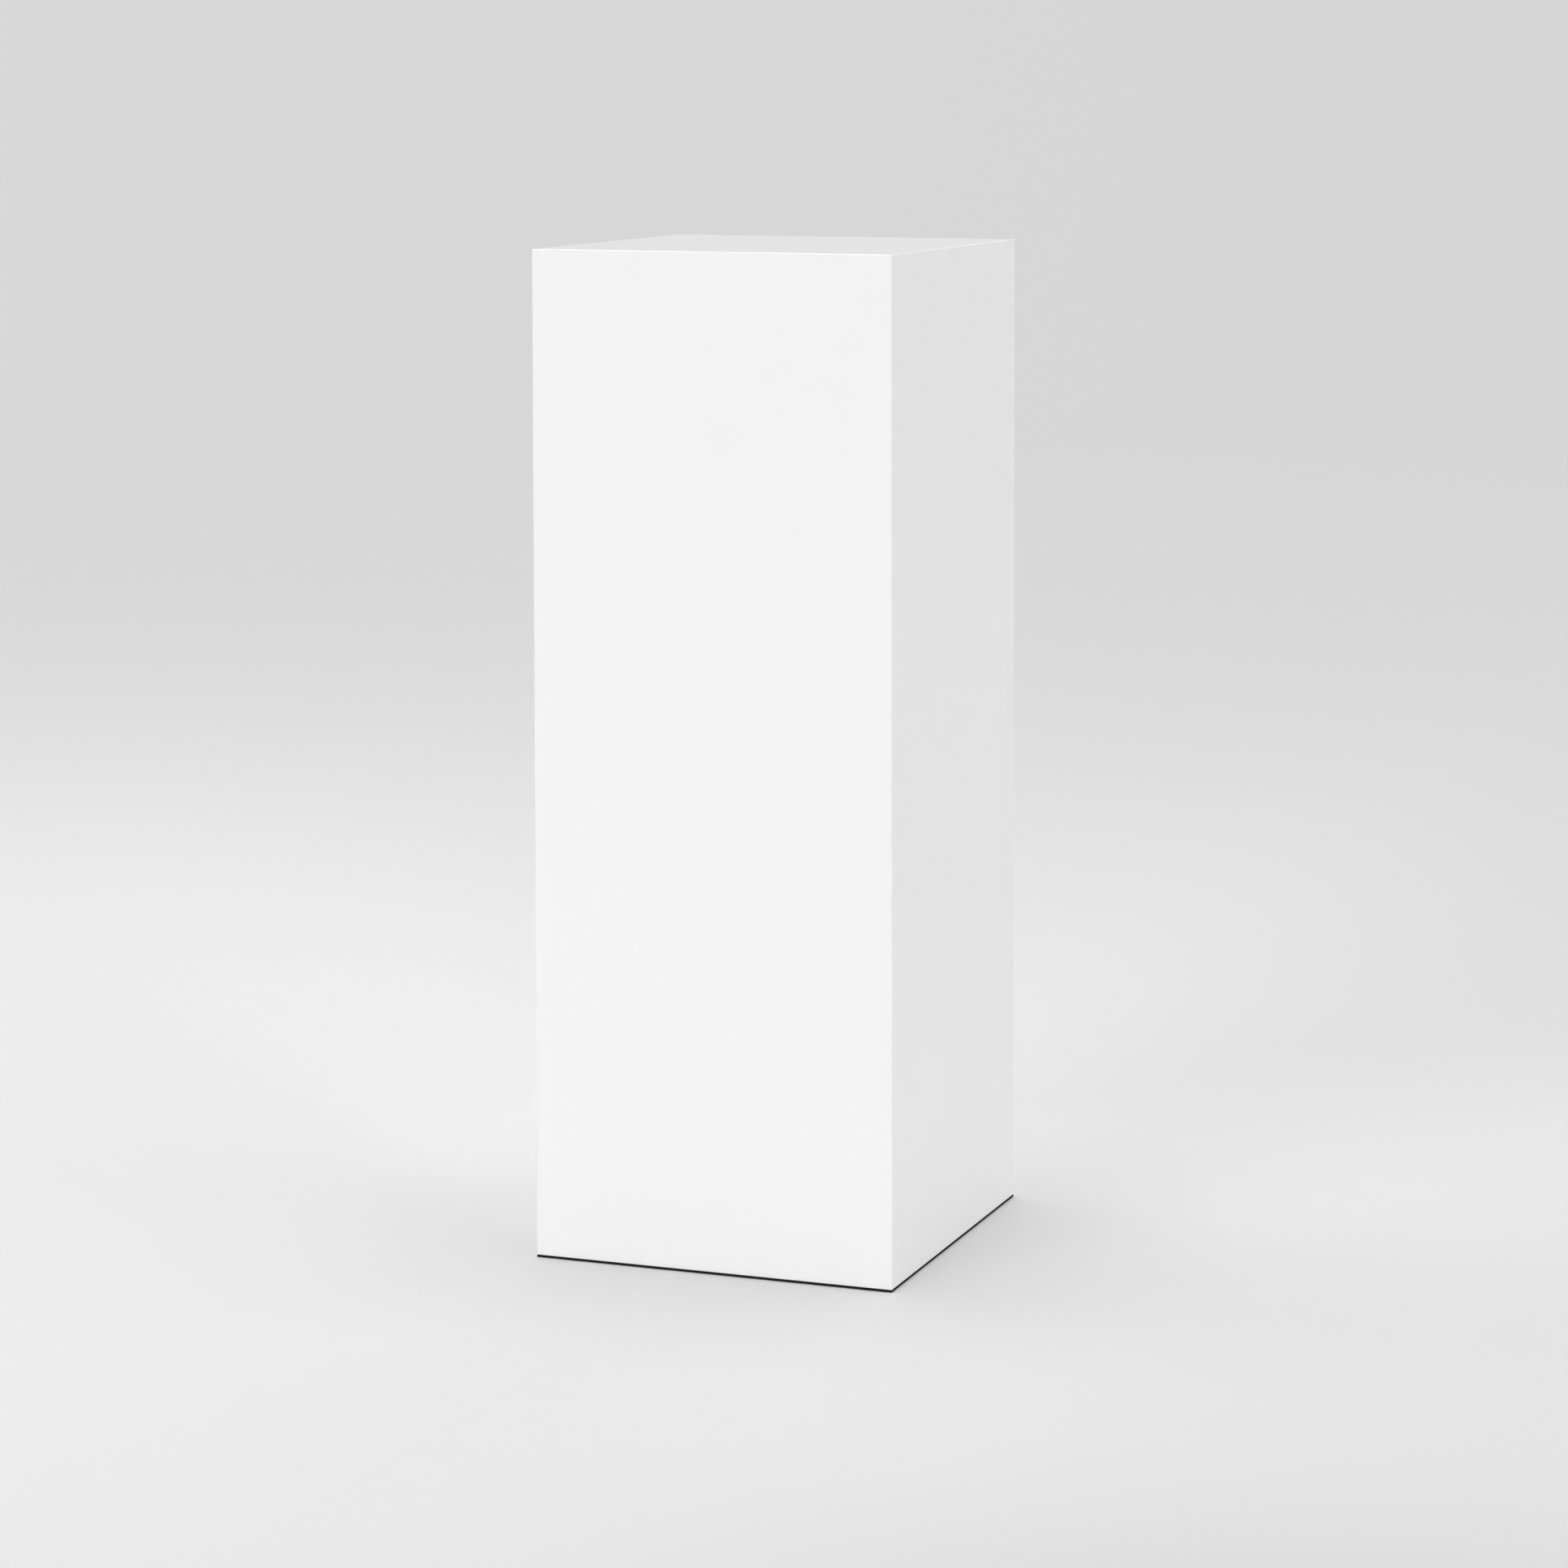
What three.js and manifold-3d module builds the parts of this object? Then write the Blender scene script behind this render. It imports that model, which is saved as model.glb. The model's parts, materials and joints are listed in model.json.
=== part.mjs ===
// Display plinth: a tall square box of mitred, white-lacquered boards on four levelling feet.
// Lengths are in millimetres. The origin is on the floor under the middle of the footprint,
// +Z points up, the front faces -Y and the right-hand side faces +X.
import * as THREE from "three";
import { RoundedBoxGeometry } from "three/addons/geometries/RoundedBoxGeometry.js";
import { mergeVertices } from "three/addons/utils/BufferGeometryUtils.js";
import Module from "manifold-3d";

// Driving dimensions: the lacquered box and the gap it stands off the floor.
const WIDTH = 375;
const BOX_HEIGHT = 1000;
const SHADOW_GAP = 2.5;
const BOARD = 18;
const ARRIS = 1;
const ARRIS_STEPS = 2;
const GLUE_LINE = 0.1;

// Loose tongues in the mitres, set nearer the inner corner than the outer one.
const TONGUE_WIDTH = 14;
const TONGUE_THICKNESS = 4;
const TONGUE_FROM_HEEL = 9;
const TONGUE_STOP = 40;
const GROOVE_CLEARANCE = 0.3;

// Planed softwood battens: corner posts, top cleats and base rails.
const BATTEN = 34;
const BATTEN_ARRIS = 2;

// Levelling foot: M10 coarse-thread stud with a hexagonal collar, turning in a nylon pad.
const THREAD_RADIUS = 5;
const STUD_LENGTH = 40;
const STUD_CHAMFER = 1;
const SPIGOT_LENGTH = 6;
const COLLAR_ACROSS_FLATS = 14;
const COLLAR_HEIGHT = 7;
const KEY_ACROSS_FLATS = 5;
const KEY_DEPTH = 6;
const PAD_RADIUS = 19;
const PAD_NECK_RADIUS = 9.5;
const PAD_HEIGHT = 10;
const PAD_RIM = 4;
const PAD_EDGE = 1.5;
const RUNNING_CLEARANCE = 0.2;
const FOOT_INSET = 52;

// Tee nut pressed up into the base board from below.
const NUT_FLANGE_RADIUS = 13;
const NUT_FLANGE = 2;
const NUT_BARREL_RADIUS = 6.5;
const NUT_BARREL = 14;
const NUT_PRONGS = 4;
const PRONG_WIDTH = 5;
const PRONG_HEIGHT = 8;
const PRONG_THICKNESS = 1.4;
const WOUND_IN_CLEARANCE = 1;

// Black rubber strips under the panels' lower edges, which darken the shadow gap.
const STRIP_SETBACK = 0.2;
const STRIP_WIDTH = 12;
const STRIP_HEIGHT = 2.2;
const STRIP_END_GAP = 0.3;

// Base board and the countersunk screws that hold it up against the rails.
const BASE_EDGE_GAP = 1;
const HAND_HOLE_RADIUS = 45;
const SCREW_RADIUS = 2.5;
const SCREW_HEAD_RADIUS = 5;
const SCREW_LENGTH = 45;
const SCREW_POINT = 6;
const SCREW_SPACING = 160;
const RECESS_SPAN = 5;
const RECESS_WIDTH = 1.2;
const RECESS_DEPTH = 2;
const HOLE_CLEARANCE = 0.3;

const ROUND_STEPS = 32;
const OVERCUT = 5;

// Heights and half-widths that follow from the dimensions above.
const boxBottom = SHADOW_GAP;
const boxTop = SHADOW_GAP + BOX_HEIGHT;
const roomTop = boxTop - BOARD;
const outerHalf = WIDTH / 2;
const roomHalf = outerHalf - BOARD;
const postInner = roomHalf - BATTEN;
const battenMiddle = roomHalf - BATTEN / 2;
const baseBottom = PAD_HEIGHT + COLLAR_HEIGHT + WOUND_IN_CLEARANCE + NUT_FLANGE;
const baseTop = baseBottom + BOARD;
const footMiddle = roomHalf - FOOT_INSET;
const tongueDepth = BOARD - TONGUE_FROM_HEEL / Math.SQRT2;
const tongueMiddle = outerHalf - tongueDepth;

const wasm = await Module();
wasm.setup();

// A closed geometry as a solid that can be joined to others and cut.
function solid(geometry) {
  const bare = geometry.clone();
  bare.deleteAttribute("normal");
  bare.deleteAttribute("uv");
  const merged = mergeVertices(bare);
  return new wasm.Manifold(
    new wasm.Mesh({
      numProp: 3,
      vertProperties: merged.attributes.position.array,
      triVerts: new Uint32Array(merged.index.array),
    }),
  );
}

// A solid as a flat-shaded geometry.
function faceted(body) {
  const mesh = body.getMesh();
  const shared = new THREE.BufferGeometry();
  shared.setAttribute("position", new THREE.BufferAttribute(mesh.vertProperties, 3));
  shared.setIndex(new THREE.BufferAttribute(mesh.triVerts, 1));
  const geometry = shared.toNonIndexed();
  geometry.computeVertexNormals();
  return geometry;
}

// A rectangular block centred on (x, y) that stands on height z.
function block(width, depth, height, x, y, z) {
  return solid(new THREE.BoxGeometry(width, depth, height).translate(x, y, z + height / 2));
}

// A round bar or hole of one radius about a vertical axis through (x, y), from height z up.
function roundBar(radius, height, x, y, z) {
  const bar = new THREE.CylinderGeometry(radius, radius, height, ROUND_STEPS);
  return solid(bar.rotateX(Math.PI / 2).translate(x, y, z + height / 2));
}

// A hexagonal bar about the Z axis, from height z up.
function hexBar(acrossFlats, height, z) {
  const cornerRadius = acrossFlats / Math.sqrt(3);
  const bar = new THREE.CylinderGeometry(cornerRadius, cornerRadius, height, 6);
  return solid(bar.rotateX(Math.PI / 2).translate(0, 0, z + height / 2));
}

// A shape turned about the Z axis from a profile of [radius, height] points.
function turned(profile) {
  const points = profile.map(([radius, height]) => new THREE.Vector2(radius, height));
  return solid(new THREE.LatheGeometry(points, ROUND_STEPS).rotateX(Math.PI / 2));
}

// Planed softwood with eased long edges, lying along Z from height 0.
function batten(length) {
  const flat = BATTEN / 2 - BATTEN_ARRIS;
  const section = new THREE.Shape();
  section.absarc(flat, flat, BATTEN_ARRIS, 0, Math.PI / 2);
  section.absarc(-flat, flat, BATTEN_ARRIS, Math.PI / 2, Math.PI);
  section.absarc(-flat, -flat, BATTEN_ARRIS, Math.PI, 1.5 * Math.PI);
  section.absarc(flat, -flat, BATTEN_ARRIS, 1.5 * Math.PI, 2 * Math.PI);
  return new THREE.ExtrudeGeometry(section, { depth: length, bevelEnabled: false, curveSegments: 3 });
}

// A batten lying along X, centred on x = 0 in the front wall's inner corner, from height z up.
function frontBatten(z) {
  const length = 2 * postInner;
  return batten(length)
    .rotateY(Math.PI / 2)
    .translate(-length / 2, -battenMiddle, z + BATTEN / 2);
}

// The tongue in the front right corner's mitre, or its groove when clearance is given.
function cornerTongue(clearance = 0) {
  const low = boxBottom + TONGUE_STOP / 2 - clearance;
  const high = boxTop - TONGUE_STOP + clearance;
  return new THREE.BoxGeometry(
    TONGUE_WIDTH + 2 * clearance,
    TONGUE_THICKNESS + 2 * clearance,
    high - low,
  )
    .rotateZ(Math.PI / 4)
    .translate(tongueMiddle, -tongueMiddle, (low + high) / 2);
}

// The tongue in the mitre between front and top panels, or its groove when clearance is given.
function topTongue(clearance = 0) {
  const length = 2 * (outerHalf - TONGUE_STOP + clearance);
  return new THREE.BoxGeometry(
    length,
    TONGUE_WIDTH + 2 * clearance,
    TONGUE_THICKNESS + 2 * clearance,
  )
    .rotateX(Math.PI / 4)
    .translate(0, -tongueMiddle, boxTop - tongueDepth);
}

// The whole box before it is parted at the mitres: outer faces, hollow inside and grooves.
function hollowBox() {
  const outside = new RoundedBoxGeometry(WIDTH, WIDTH, BOX_HEIGHT, ARRIS_STEPS, ARRIS);
  const room = block(2 * roomHalf, 2 * roomHalf, BOX_HEIGHT - BOARD + OVERCUT, 0, 0, boxBottom - OVERCUT);
  let box = solid(outside.translate(0, 0, boxBottom + BOX_HEIGHT / 2)).subtract(room);
  for (let quarter = 0; quarter < 4; quarter += 1) {
    const turn = (quarter * Math.PI) / 2;
    box = box.subtract(solid(cornerTongue(GROOVE_CLEARANCE).rotateZ(turn)));
    box = box.subtract(solid(topTongue(GROOVE_CLEARANCE).rotateZ(turn)));
  }
  return box;
}

// The upside-down pyramid between the four top mitres, shifted down by drop.
function topWedge(drop) {
  const half = outerHalf + OVERCUT;
  const pyramid = new THREE.ConeGeometry(half * Math.SQRT2, half, 4);
  return solid(
    pyramid
      .rotateY(Math.PI / 4)
      .rotateX(-Math.PI / 2)
      .translate(0, 0, boxTop + OVERCUT - half / 2 - drop),
  );
}

// The triangular prism between the two upright mitres of the front panel.
function frontWedge() {
  const half = outerHalf + OVERCUT;
  const plan = new THREE.Shape();
  plan.moveTo(0, -GLUE_LINE);
  plan.lineTo(-half + GLUE_LINE, -half);
  plan.lineTo(half - GLUE_LINE, -half);
  const height = BOX_HEIGHT + 2 * OVERCUT;
  const prism = new THREE.ExtrudeGeometry(plan, { depth: height, bevelEnabled: false });
  return solid(prism.translate(0, 0, boxBottom - OVERCUT));
}

const box = hollowBox();

function frontPanel() {
  return faceted(box.intersect(frontWedge()).subtract(topWedge(GLUE_LINE)));
}

function topPanel() {
  return faceted(box.intersect(topWedge(-GLUE_LINE)));
}

// Post in the front right corner, from the base board up to the top panel.
function cornerPost() {
  return batten(roomTop - baseTop).translate(battenMiddle, -battenMiddle, baseTop);
}

function topCleat() {
  return frontBatten(roomTop - BATTEN);
}

// Rubber strip under the front panel. Its right end runs past the next strip's left end.
function kickStrip() {
  const reach = outerHalf - STRIP_SETBACK;
  const left = -reach + STRIP_WIDTH + STRIP_END_GAP;
  const strip = new THREE.BoxGeometry(reach - left, STRIP_WIDTH, STRIP_HEIGHT);
  return strip.translate(
    (left + reach) / 2,
    -reach + STRIP_WIDTH / 2,
    boxBottom - STRIP_HEIGHT / 2,
  );
}

// X positions of the two base screws along the front rail.
const screwPlaces = [-SCREW_SPACING / 2, SCREW_SPACING / 2];

// Clearance hole for a base screw, countersunk at the underside of the base board.
function screwHole(x, y) {
  const radius = SCREW_RADIUS + HOLE_CLEARANCE;
  const headRadius = SCREW_HEAD_RADIUS + HOLE_CLEARANCE;
  const hole = turned([
    [0, -OVERCUT],
    [headRadius, -OVERCUT],
    [headRadius, 0],
    [radius, headRadius - radius],
    [radius, SCREW_LENGTH + HOLE_CLEARANCE],
    [0, SCREW_LENGTH + HOLE_CLEARANCE],
  ]);
  return hole.translate([x, y, baseBottom]);
}

// Rail along the foot of the front panel, with holes for the two base screws.
function baseRail() {
  let rail = solid(frontBatten(baseTop));
  for (const x of screwPlaces) rail = rail.subtract(screwHole(x, -battenMiddle));
  return faceted(rail);
}

// Countersunk wood screw with a cross recess, head down, centred on the Z axis.
function baseScrew() {
  const shape = turned([
    [0, 0],
    [SCREW_HEAD_RADIUS, 0],
    [SCREW_RADIUS, SCREW_HEAD_RADIUS - SCREW_RADIUS],
    [SCREW_RADIUS, SCREW_LENGTH - SCREW_POINT],
    [0, SCREW_LENGTH],
  ]);
  const slot = block(RECESS_SPAN, RECESS_WIDTH, RECESS_DEPTH + OVERCUT, 0, 0, -OVERCUT);
  const crossSlot = block(RECESS_WIDTH, RECESS_SPAN, RECESS_DEPTH + OVERCUT, 0, 0, -OVERCUT);
  return faceted(shape.subtract(slot.add(crossSlot)));
}

// The tee nut's prongs, or their slots when clearance is given, around the Z axis.
// They stand on the flange's upper face, which is at height 0.
function prongs(clearance = 0) {
  const width = PRONG_WIDTH + 2 * clearance;
  const thickness = PRONG_THICKNESS + 2 * clearance;
  const root = -NUT_FLANGE / 2;
  const outline = new THREE.Shape();
  outline.moveTo(-width / 2, root);
  outline.lineTo(width / 2, root);
  outline.lineTo(width / 2, PRONG_HEIGHT / 2);
  outline.lineTo(0, PRONG_HEIGHT + clearance);
  outline.lineTo(-width / 2, PRONG_HEIGHT / 2);
  const one = new THREE.ExtrudeGeometry(outline, { depth: thickness, bevelEnabled: false });
  one.rotateX(Math.PI / 2).translate(0, NUT_FLANGE_RADIUS - 2 * PRONG_THICKNESS + thickness / 2, 0);
  const all = [];
  for (let i = 0; i < NUT_PRONGS; i += 1) {
    all.push(solid(one.clone().rotateZ((2 * Math.PI * i) / NUT_PRONGS)));
  }
  return all;
}

// Steel tee nut about the Z axis, its flange's upper face at height 0.
function teeNut() {
  const bore = THREAD_RADIUS + RUNNING_CLEARANCE;
  let nut = turned([
    [bore, -NUT_FLANGE],
    [NUT_FLANGE_RADIUS, -NUT_FLANGE],
    [NUT_FLANGE_RADIUS, 0],
    [NUT_BARREL_RADIUS, 0],
    [NUT_BARREL_RADIUS, NUT_BARREL],
    [bore, NUT_BARREL],
    [bore, -NUT_FLANGE],
  ]);
  for (const prong of prongs()) nut = nut.add(prong);
  return faceted(nut);
}

// Levelling stud about the Z axis, its collar's lower face at height 0.
function footStud() {
  const shaft = turned([
    [0, -SPIGOT_LENGTH],
    [THREAD_RADIUS, -SPIGOT_LENGTH],
    [THREAD_RADIUS, COLLAR_HEIGHT + STUD_LENGTH - STUD_CHAMFER],
    [THREAD_RADIUS - STUD_CHAMFER, COLLAR_HEIGHT + STUD_LENGTH],
    [0, COLLAR_HEIGHT + STUD_LENGTH],
  ]);
  const collar = hexBar(COLLAR_ACROSS_FLATS, COLLAR_HEIGHT, 0);
  const keyBottom = COLLAR_HEIGHT + STUD_LENGTH - KEY_DEPTH;
  const key = hexBar(KEY_ACROSS_FLATS, KEY_DEPTH + OVERCUT, keyBottom);
  return faceted(shaft.add(collar).subtract(key));
}

// Nylon pad about the Z axis with a blind socket for the stud, its underside at height 0.
function footPad() {
  const socket = THREAD_RADIUS + RUNNING_CLEARANCE;
  const socketBottom = PAD_HEIGHT - SPIGOT_LENGTH - RUNNING_CLEARANCE;
  return faceted(
    turned([
      [0, 0],
      [PAD_RADIUS - PAD_EDGE, 0],
      [PAD_RADIUS, PAD_EDGE],
      [PAD_RADIUS, PAD_RIM],
      [PAD_NECK_RADIUS + PAD_EDGE, PAD_HEIGHT - PAD_EDGE],
      [PAD_NECK_RADIUS, PAD_HEIGHT - RUNNING_CLEARANCE],
      [socket, PAD_HEIGHT - RUNNING_CLEARANCE],
      [socket, socketBottom],
      [0, socketBottom],
    ]),
  );
}

// Plywood base board, with the hand hole and holes for the tee nuts and base screws.
function baseBoard() {
  const size = 2 * (roomHalf - BASE_EDGE_GAP);
  let board = block(size, size, BOARD, 0, 0, baseBottom);
  const through = BOARD + 2 * OVERCUT;
  board = board.subtract(roundBar(HAND_HOLE_RADIUS, through, 0, 0, baseBottom - OVERCUT));
  const barrelHole = NUT_BARREL_RADIUS + HOLE_CLEARANCE;
  for (let quarter = 0; quarter < 4; quarter += 1) {
    const degrees = 90 * quarter;
    const cuts = [
      roundBar(barrelHole, through, footMiddle, -footMiddle, baseBottom - OVERCUT),
      ...prongs(HOLE_CLEARANCE).map((slot) => slot.translate([footMiddle, -footMiddle, baseBottom])),
      ...screwPlaces.map((x) => screwHole(x, -battenMiddle)),
    ];
    for (const cut of cuts) board = board.subtract(cut.rotate([0, 0, degrees]));
  }
  return faceted(board);
}

const lacquer = () => new THREE.MeshStandardMaterial({ color: 0xf2f2f0, roughness: 0.55, metalness: 0 });
const softwood = () => new THREE.MeshStandardMaterial({ color: 0xd9b884, roughness: 0.75, metalness: 0 });
const plywood = () => new THREE.MeshStandardMaterial({ color: 0xcfae7c, roughness: 0.7, metalness: 0 });
const zincSteel = () => new THREE.MeshStandardMaterial({ color: 0xb9bcc0, roughness: 0.35, metalness: 1 });
const nylon = () => new THREE.MeshStandardMaterial({ color: 0x1b1b1d, roughness: 0.6, metalness: 0 });
const rubber = () => new THREE.MeshStandardMaterial({ color: 0x101011, roughness: 0.9, metalness: 0 });

// One named piece.
function piece(name, geometry, material) {
  const mesh = new THREE.Mesh(geometry, material);
  mesh.name = name;
  return mesh;
}

// A group turned about the Z axis by a number of quarter turns.
function quarterGroup(name, quarters) {
  const group = new THREE.Group();
  group.name = name;
  group.rotation.z = (quarters * Math.PI) / 2;
  return group;
}

const shapes = {
  panel: frontPanel(),
  topTongue: topTongue(),
  topCleat: topCleat(),
  kickStrip: kickStrip(),
  baseRail: baseRail(),
  baseScrew: baseScrew(),
  cornerTongue: cornerTongue(),
  cornerPost: cornerPost(),
  teeNut: teeNut(),
  footStud: footStud(),
  footPad: footPad(),
};

// Everything that belongs to one wall, built at the front and turned into place.
function wall(side, quarters) {
  const group = quarterGroup(`wall_${side}`, quarters);
  group.add(piece(`panel_${side}`, shapes.panel, lacquer()));
  group.add(piece(`top_tongue_${side}`, shapes.topTongue, plywood()));
  group.add(piece(`top_cleat_${side}`, shapes.topCleat, softwood()));
  group.add(piece(`kick_strip_${side}`, shapes.kickStrip, rubber()));
  group.add(piece(`base_rail_${side}`, shapes.baseRail, softwood()));
  screwPlaces.forEach((x, i) => {
    const screw = piece(`base_screw_${side}_${i + 1}`, shapes.baseScrew, zincSteel());
    screw.position.set(x, -battenMiddle, baseBottom);
    group.add(screw);
  });
  return group;
}

// A levelling foot, wound fully in: tee nut, stud and pad on one axis.
function levellingFoot(corner) {
  const foot = new THREE.Group();
  foot.name = `levelling_foot_${corner}`;
  foot.position.set(footMiddle, -footMiddle, 0);
  const nut = piece(`tee_nut_${corner}`, shapes.teeNut, zincSteel());
  nut.position.z = baseBottom;
  const stud = piece(`foot_stud_${corner}`, shapes.footStud, zincSteel());
  stud.position.z = PAD_HEIGHT;
  foot.add(nut, stud, piece(`foot_pad_${corner}`, shapes.footPad, nylon()));
  return foot;
}

// Everything that belongs to one corner, built at the front right and turned into place.
function cornerOf(corner, quarters) {
  const group = quarterGroup(`corner_${corner}`, quarters);
  group.add(piece(`corner_tongue_${corner}`, shapes.cornerTongue, plywood()));
  group.add(piece(`corner_post_${corner}`, shapes.cornerPost, softwood()));
  group.add(levellingFoot(corner));
  return group;
}

const plinth = new THREE.Group();
plinth.name = "display_plinth";
plinth.add(piece("panel_top", topPanel(), lacquer()));
plinth.add(piece("base_board", baseBoard(), plywood()));
["front", "right", "back", "left"].forEach((side, i) => plinth.add(wall(side, i)));
["front_right", "back_right", "back_left", "front_left"].forEach((corner, i) =>
  plinth.add(cornerOf(corner, i)),
);

export default plinth;
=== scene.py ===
"""Looks of the display plinth: lacquered mitred panels, timber frame and levelling feet in a pale studio.

Lengths are in metres, in the frame's own axes: +Z up, the front facing -Y, the right-hand side +X.
"""

import json
import math

import bmesh
import bpy
from mathutils import Matrix, Vector

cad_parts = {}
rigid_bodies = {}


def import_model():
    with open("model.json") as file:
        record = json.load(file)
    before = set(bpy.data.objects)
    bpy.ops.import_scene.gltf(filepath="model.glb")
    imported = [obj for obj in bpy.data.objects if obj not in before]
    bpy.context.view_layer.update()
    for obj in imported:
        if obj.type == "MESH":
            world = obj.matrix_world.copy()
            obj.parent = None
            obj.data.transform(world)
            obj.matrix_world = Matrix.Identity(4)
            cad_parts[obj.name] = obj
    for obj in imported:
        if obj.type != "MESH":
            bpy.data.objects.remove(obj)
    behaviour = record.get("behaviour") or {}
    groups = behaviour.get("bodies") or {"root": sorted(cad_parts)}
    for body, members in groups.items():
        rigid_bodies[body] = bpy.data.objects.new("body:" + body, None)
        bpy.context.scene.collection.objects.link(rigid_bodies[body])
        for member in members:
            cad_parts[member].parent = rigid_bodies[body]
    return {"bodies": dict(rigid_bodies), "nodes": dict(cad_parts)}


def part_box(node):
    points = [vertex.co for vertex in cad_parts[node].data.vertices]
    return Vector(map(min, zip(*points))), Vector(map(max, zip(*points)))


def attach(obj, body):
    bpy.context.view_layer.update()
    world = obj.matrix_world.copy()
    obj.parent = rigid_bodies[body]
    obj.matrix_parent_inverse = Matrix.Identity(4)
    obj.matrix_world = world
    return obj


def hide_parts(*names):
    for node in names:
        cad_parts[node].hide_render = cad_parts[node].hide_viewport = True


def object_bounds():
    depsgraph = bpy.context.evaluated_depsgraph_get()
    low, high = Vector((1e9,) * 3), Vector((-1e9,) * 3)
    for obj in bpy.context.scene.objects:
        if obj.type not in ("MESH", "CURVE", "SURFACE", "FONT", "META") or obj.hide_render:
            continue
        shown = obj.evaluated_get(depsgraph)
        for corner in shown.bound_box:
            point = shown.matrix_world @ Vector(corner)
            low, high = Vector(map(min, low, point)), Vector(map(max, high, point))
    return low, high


MM = 0.001
SIDES = ("front", "right", "back", "left")
CORNERS = ("front_right", "back_right", "back_left", "front_left")
BOX_BODY = "plinth_box"

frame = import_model()
cad_low, cad_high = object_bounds()

# The box that the panels make and the room inside it, from the frame.
panel_low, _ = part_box("panel_front")
board_low, board_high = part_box("base_board")
_, cleat_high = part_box("top_cleat_front")
BOX_BOTTOM = panel_low.z
BOX_TOP = cad_high.z
HEIGHT = BOX_TOP - BOX_BOTTOM
OUTER = cad_high.x
ROOM_TOP = cleat_high.z
ROOM = OUTER - (BOX_TOP - ROOM_TOP)
ARRIS = 1.0 * MM
ARRIS_STEPS = 6
CORE = OUTER - ARRIS
CORE_LOW = Vector((-CORE, -CORE, BOX_BOTTOM + ARRIS))
CORE_HIGH = Vector((CORE, CORE, BOX_TOP - ARRIS))
GROOVE_CLEARANCE = 0.3 * MM
MERGE = 0.001 * MM
SHARP_ANGLE = math.radians(35)
EASING_STEPS = 3
ARC_STEPS = 6
SMALL_ARC_STEPS = 3
SCREW_NUMBERS = (1, 2)


# ---------------------------------------------------------------- mesh helpers


def mesh_object(name, bm, *materials):
    """Makes an object of a bmesh. Faces that meet at less than SHARP_ANGLE are shaded as one."""
    bmesh.ops.remove_doubles(bm, verts=bm.verts, dist=MERGE)
    bmesh.ops.recalc_face_normals(bm, faces=bm.faces)
    for face in bm.faces:
        face.smooth = True
    for edge in bm.edges:
        joined = len(edge.link_faces) == 2
        edge.smooth = joined and edge.calc_face_angle() < SHARP_ANGLE
    mesh = bpy.data.meshes.new(name)
    bm.to_mesh(mesh)
    bm.free()
    for material in materials:
        mesh.materials.append(material)
    obj = bpy.data.objects.new(name, mesh)
    bpy.context.scene.collection.objects.link(obj)
    return obj


def boolean(obj, tool, operation):
    """Joins tool to obj or cuts it away for good, deletes tool and marks the sharp edges afresh."""
    modifier = obj.modifiers.new("boolean", "BOOLEAN")
    modifier.operation = operation
    modifier.solver = "EXACT"
    modifier.object = tool
    graph = bpy.context.evaluated_depsgraph_get()
    made = bpy.data.meshes.new_from_object(obj.evaluated_get(graph))
    obj.modifiers.clear()
    obj.data = made
    made.set_sharp_from_angle(angle=SHARP_ANGLE)
    bpy.data.objects.remove(tool)


def revolved(name, column, steps, material):
    """A closed body: column(angle) lists (radius, height) points up the side at that angle about Z."""
    bm = bmesh.new()
    columns = []
    for step in range(steps + 1):
        angle = 2 * math.pi * step / steps
        across, along = math.cos(angle), math.sin(angle)
        columns.append([bm.verts.new((r * across, r * along, z)) for r, z in column(angle)])
    for left, right in zip(columns, columns[1:]):
        for low in range(len(left) - 1):
            bm.faces.new((left[low], right[low], right[low + 1], left[low + 1]))
    return mesh_object(name, bm, material)


def arc(radius, height, size, start, end, steps=ARC_STEPS):
    """Points of a profile's rounded corner about (radius, height), from start to end degrees."""
    points = []
    for step in range(steps + 1):
        angle = math.radians(start + (end - start) * step / steps)
        points.append((radius + size * math.cos(angle), height + size * math.sin(angle)))
    return points


def hexagon(across_flats, angle):
    """Radius of a hexagon's outline in the direction of angle."""
    return across_flats / 2 / math.cos(angle % (math.pi / 3) - math.pi / 6)


def move(obj, matrix):
    """Moves an object's mesh and returns the object."""
    obj.data.transform(matrix)
    obj.data.update()
    return obj


def quarter_turn(quarters):
    """Turn about Z by a number of right angles."""
    return Matrix.Rotation(quarters * math.pi / 2, 4, "Z")


def shift_to(spot):
    """Shift from the plinth's axis to a spot on plan."""
    return Matrix.Translation((spot.x, spot.y, 0))


def place(obj, body, node):
    """The piece rides on the body and stands for the node."""
    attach(obj, body)
    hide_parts(node)


def middle(node):
    """Centre of a node's box."""
    low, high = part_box(node)
    return (low + high) / 2


# ---------------------------------------------------------------- shader helpers


def new_material(name):
    """An empty node material, its node tree and its main shader."""
    material = bpy.data.materials.new(name)
    material.use_nodes = True
    return material, material.node_tree, material.node_tree.nodes["Principled BSDF"]


def add(tree, kind, settings=None, **inputs):
    """A node with its settings and inputs filled in. An input is a value or another node's output."""
    node = tree.nodes.new(kind)
    for name, value in (settings or {}).items():
        setattr(node, name, value)
    for name, value in inputs.items():
        fill(tree, node.inputs[name.replace("_", " ")], value)
    return node


def fill(tree, socket, value):
    """Connects an output to the socket, or sets the socket to a plain value."""
    if isinstance(value, bpy.types.NodeSocket):
        tree.links.new(value, socket)
    else:
        socket.default_value = value


def calc(tree, operation, first, second=0.0):
    """Output of a math node."""
    node = tree.nodes.new("ShaderNodeMath")
    node.operation = operation
    fill(tree, node.inputs[0], first)
    fill(tree, node.inputs[1], second)
    return node.outputs[0]


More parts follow.
